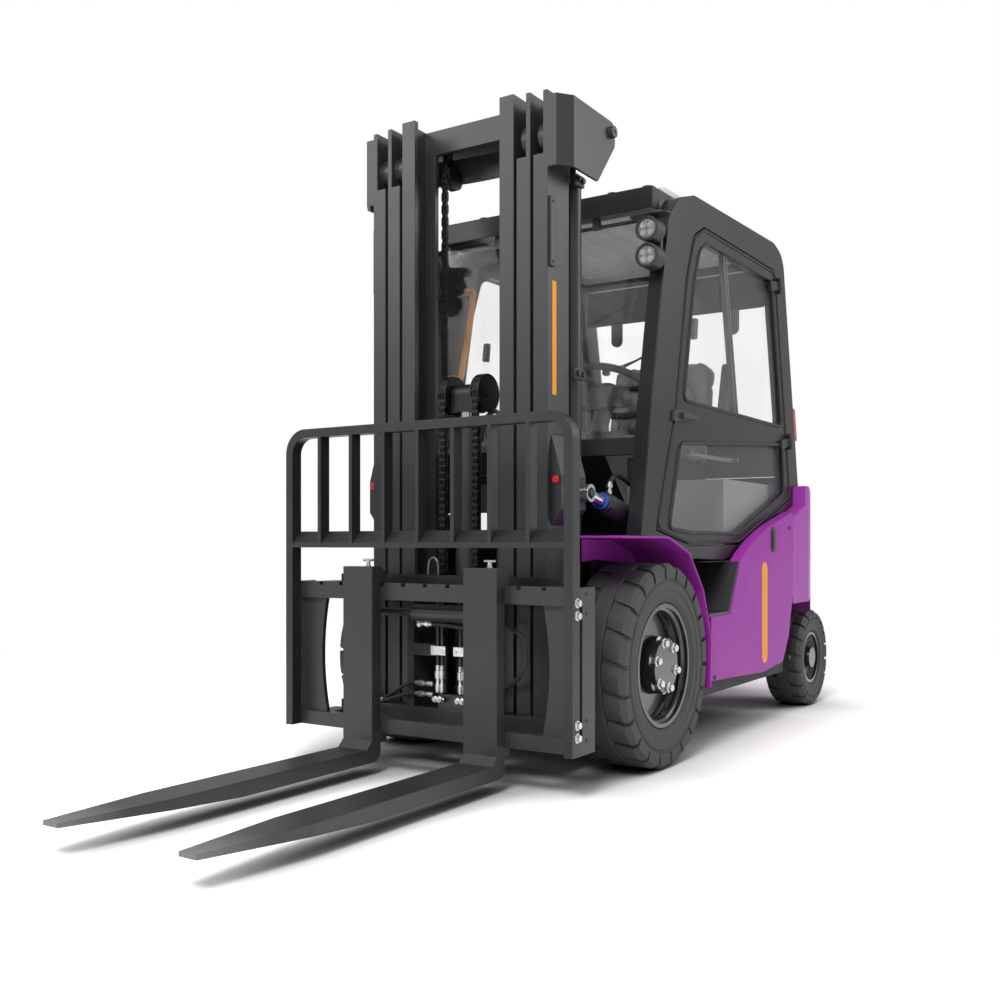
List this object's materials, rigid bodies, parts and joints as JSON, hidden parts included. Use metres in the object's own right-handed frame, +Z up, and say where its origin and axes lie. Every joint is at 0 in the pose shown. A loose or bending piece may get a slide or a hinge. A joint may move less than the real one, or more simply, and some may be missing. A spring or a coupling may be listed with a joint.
{
  "type": "counterbalance forklift truck",
  "caption": "Electric counterbalance forklift truck with a closed cab, a telescoping three-stage mast, side-shifting forks and a load guard",
  "frame": {"origin": "on the floor under the middle of the truck, fork tips to tail", "axes": "+Z up, forks towards -Y, driver's left towards +X"},
  "size_m": [1.188, 4.01, 2.246],
  "materials": {
    "purple_paint": "gloss purple body paint",
    "black_paint": "satin black paint",
    "cast_weight": "gloss purple paint on cast iron",
    "tyre": "solid rubber",
    "rim_black": "gloss black wheel paint",
    "axle_paint": "satin black paint on castings",
    "battery": "painted steel battery tray",
    "glass": "clear safety glass",
    "roof": "pale grey paint",
    "seat_cloth": "grey seat cloth",
    "black_plastic": "textured black plastic",
    "chrome": "hard chromed rod",
    "chain_steel": "oiled chain steel",
    "lamp": "black lamp housing",
    "tail_lamp": "red lamp lens",
    "orange": "orange coated bar",
    "fork_paint": "satin black forged steel"
  },
  "bodies": {
    "truck": {"front_axle": "axle_paint", "steer_axle": "axle_paint", "chassis_frame": "black_paint", "battery_block": "battery", "floor_cowl": "black_paint", "seat_deck": "black_plastic", "fender_left": "purple_paint", "fender_right": "purple_paint", "side_panel_left": "purple_paint", "side_panel_right": "purple_paint", "steps": "black_plastic", "counterweight": "cast_weight", "cab_frame": "black_paint", "roof_panel": "roof", "windscreen": "glass", "rear_window": "glass", "seat_base": "black_plastic", "seat_cushion": "seat_cloth", "seat_back": "seat_cloth", "dash_console": "black_plastic", "work_lamps": "lamp", "tail_lamps": "tail_lamp", "grab_handle": "orange"},
    "front_wheel_left": {"front_tyre_left": "tyre", "front_rim_left": "rim_black"},
    "front_wheel_right": {"front_tyre_right": "tyre", "front_rim_right": "rim_black"},
    "knuckle_left": {"knuckle_left": "axle_paint"},
    "knuckle_right": {"knuckle_right": "axle_paint"},
    "rear_wheel_left": {"rear_tyre_left": "tyre", "rear_rim_left": "rim_black"},
    "rear_wheel_right": {"rear_tyre_right": "tyre", "rear_rim_right": "rim_black"},
    "mast": {"mast_outer": "black_paint", "tilt_brackets": "black_paint", "lift_barrels": "black_paint"},
    "middle_mast": {"mast_middle": "black_paint", "lift_rods": "chrome", "lift_sheaves": "chain_steel"},
    "inner_mast": {"mast_inner": "black_paint", "free_lift_barrel": "black_paint", "lift_chains": "chain_steel"},
    "free_head": {"free_lift_rod": "chrome", "free_lift_head": "black_paint"},
    "carriage": {"carriage": "black_paint", "side_shift_cylinder": "black_paint", "free_chains": "chain_steel"},
    "side_shift": {"side_shift_frame": "black_paint", "load_guard": "black_paint", "fork_left": "fork_paint", "fork_right": "fork_paint"},
    "tilt_barrels": {"tilt_barrels": "black_paint"},
    "tilt_rods": {"tilt_rods": "chrome"},
    "door_left": {"door_left": "black_paint", "door_glass_left": "glass"},
    "door_right": {"door_right": "black_paint", "door_glass_right": "glass"},
    "steering_wheel": {"steering_wheel": "black_plastic"}
  },
  "joints": [
    {"name": "front_wheel_left_spin", "type": "hinge", "parent": "truck", "child": "front_wheel_left", "pos_m": [0, -0.215, 0.353], "axis": [1, 0, 0], "continuous": true},
    {"name": "front_wheel_right_spin", "type": "hinge", "parent": "truck", "child": "front_wheel_right", "pos_m": [0, -0.215, 0.353], "axis": [1, 0, 0], "continuous": true},
    {"name": "steer_left", "type": "hinge", "parent": "truck", "child": "knuckle_left", "pos_m": [0.35, 1.525, 0.227], "axis": [0, 0, 1], "range_deg": [-70, 70]},
    {"name": "steer_right", "type": "hinge", "parent": "truck", "child": "knuckle_right", "pos_m": [-0.35, 1.525, 0.227], "axis": [0, 0, 1], "range_deg": [-70, 70]},
    {"name": "rear_wheel_left_spin", "type": "hinge", "parent": "knuckle_left", "child": "rear_wheel_left", "pos_m": [0, 1.525, 0.227], "axis": [1, 0, 0], "continuous": true},
    {"name": "rear_wheel_right_spin", "type": "hinge", "parent": "knuckle_right", "child": "rear_wheel_right", "pos_m": [0, 1.525, 0.227], "axis": [1, 0, 0], "continuous": true},
    {"name": "mast_tilt", "type": "hinge", "parent": "truck", "child": "mast", "pos_m": [0, -0.345, 0.3], "axis": [-1, 0, 0], "range_deg": [-5, 5]},
    {"name": "tilt_barrel_swing", "type": "hinge", "parent": "truck", "child": "tilt_barrels", "pos_m": [0, 0.115, 0.798], "axis": [-1, 0, 0], "range_deg": [-5, 5]},
    {"name": "tilt_rod_slide", "type": "slide", "parent": "tilt_barrels", "child": "tilt_rods", "axis": [0, 0.9732, -0.2301], "range_m": [-0.07, 0.07]},
    {"name": "main_lift", "type": "slide", "parent": "mast", "child": "middle_mast", "axis": [0, 0, 1], "range_m": [0, 1.45]},
    {"name": "inner_lift", "type": "slide", "parent": "middle_mast", "child": "inner_mast", "axis": [0, 0, 1], "range_m": [0, 1.45], "deforming": ["lift_chains"]},
    {"name": "carriage_lift", "type": "slide", "parent": "inner_mast", "child": "carriage", "axis": [0, 0, 1], "range_m": [0, 1.45], "deforming": ["free_chains"]},
    {"name": "free_head_lift", "type": "slide", "parent": "inner_mast", "child": "free_head", "axis": [0, 0, 1], "range_m": [0, 0.725]},
    {"name": "side_shift", "type": "slide", "parent": "carriage", "child": "side_shift", "axis": [1, 0, 0], "range_m": [-0.1, 0.1]},
    {"name": "door_left_swing", "type": "hinge", "parent": "truck", "child": "door_left", "pos_m": [0.533, 1.21906, 1.4725], "axis": [0, -0.2029, 0.9792], "range_deg": [0, 80]},
    {"name": "door_right_swing", "type": "hinge", "parent": "truck", "child": "door_right", "pos_m": [-0.533, 1.21906, 1.4725], "axis": [0, 0.2029, -0.9792], "range_deg": [0, 80]},
    {"name": "steering_wheel_turn", "type": "hinge", "parent": "truck", "child": "steering_wheel", "pos_m": [0.06, 0.375, 1.4], "axis": [0, 0.4695, 0.8829], "continuous": true}
  ],
  "couplings": [
    {"joint": "steer_right", "follows": "steer_left", "ratio": 1},
    {"joint": "tilt_barrel_swing", "follows": "mast_tilt", "ratio": 0.45215},
    {"joint": "tilt_rod_slide", "follows": "mast_tilt", "m_per_rad": 0.5903},
    {"joint": "inner_lift", "follows": "main_lift", "ratio": 1},
    {"joint": "free_head_lift", "follows": "carriage_lift", "ratio": 0.5}
  ]
}
